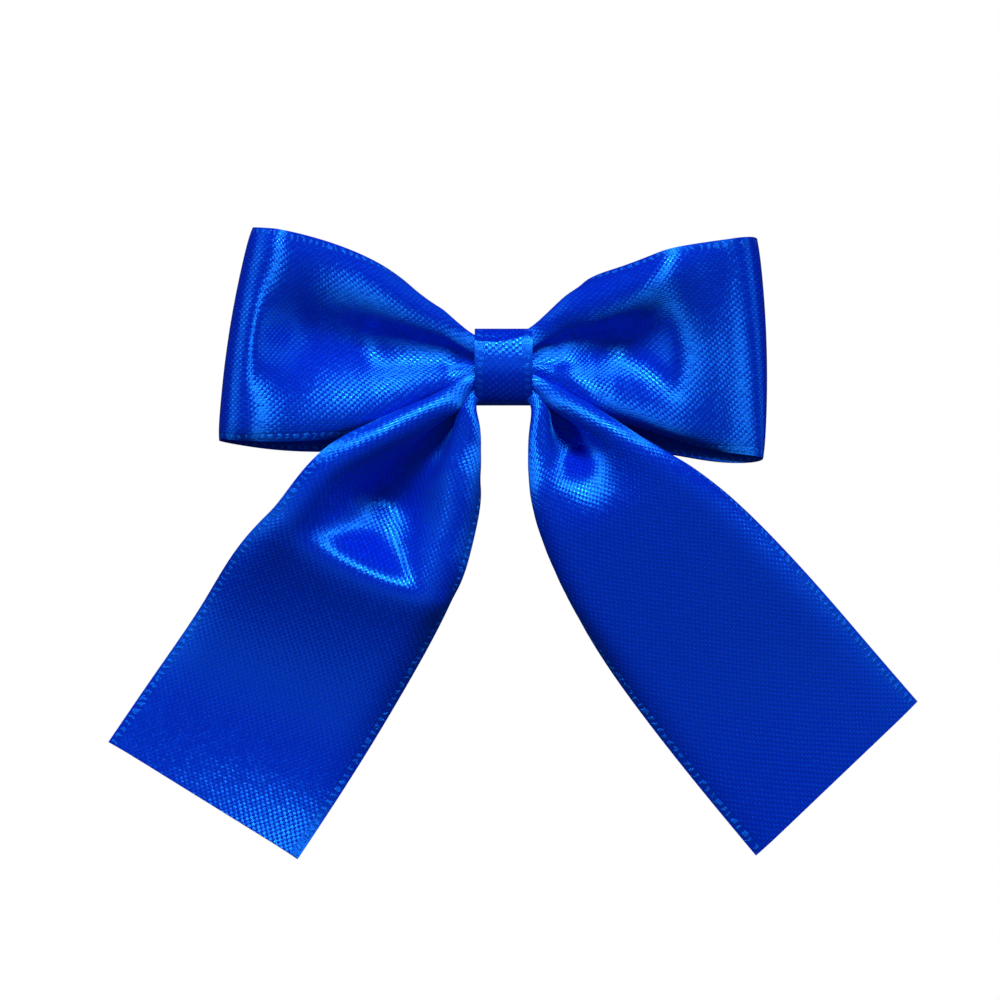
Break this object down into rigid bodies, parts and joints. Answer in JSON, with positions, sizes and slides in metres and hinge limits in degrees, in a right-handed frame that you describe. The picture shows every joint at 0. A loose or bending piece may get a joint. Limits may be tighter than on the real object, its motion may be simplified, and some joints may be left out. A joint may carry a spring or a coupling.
{
  "type": "gift bow",
  "caption": "Pre-made satin gift bow with paired loops and tails gathered under a narrow knot band, on a self-adhesive foam pad.",
  "frame": {"origin": "centre of the back face, where the release liner lies on the surface", "axes": "+Z out through the front of the knot, +Y towards the top of the loops, +X to the right seen from the front"},
  "size_m": [0.0913, 0.0706, 0.0115],
  "materials": {
    "satin_ribbon": "royal blue satin weave with a stitched selvedge",
    "band_ribbon": "narrow royal blue satin ribbon",
    "thread": "twisted polyester sewing thread",
    "glue": "translucent hot-melt film",
    "adhesive": "clear tacky acrylic film",
    "foam": "white closed-cell foam",
    "liner": "silicone coated release paper"
  },
  "bodies": {
    "bow": {"loop_ribbon": "satin_ribbon", "tail_ribbon": "satin_ribbon", "knot_band": "band_ribbon", "band_glue": "glue", "binding_thread": "thread", "pad_adhesive_front": "adhesive", "foam_pad": "foam", "pad_adhesive_back": "adhesive"},
    "liner": {"release_liner": "liner"}
  },
  "joints": [
    {"name": "liner_peel", "type": "slide", "parent": "bow", "child": "liner", "axis": [1, 0, 0], "range_m": [0, 0.016]}
  ]
}
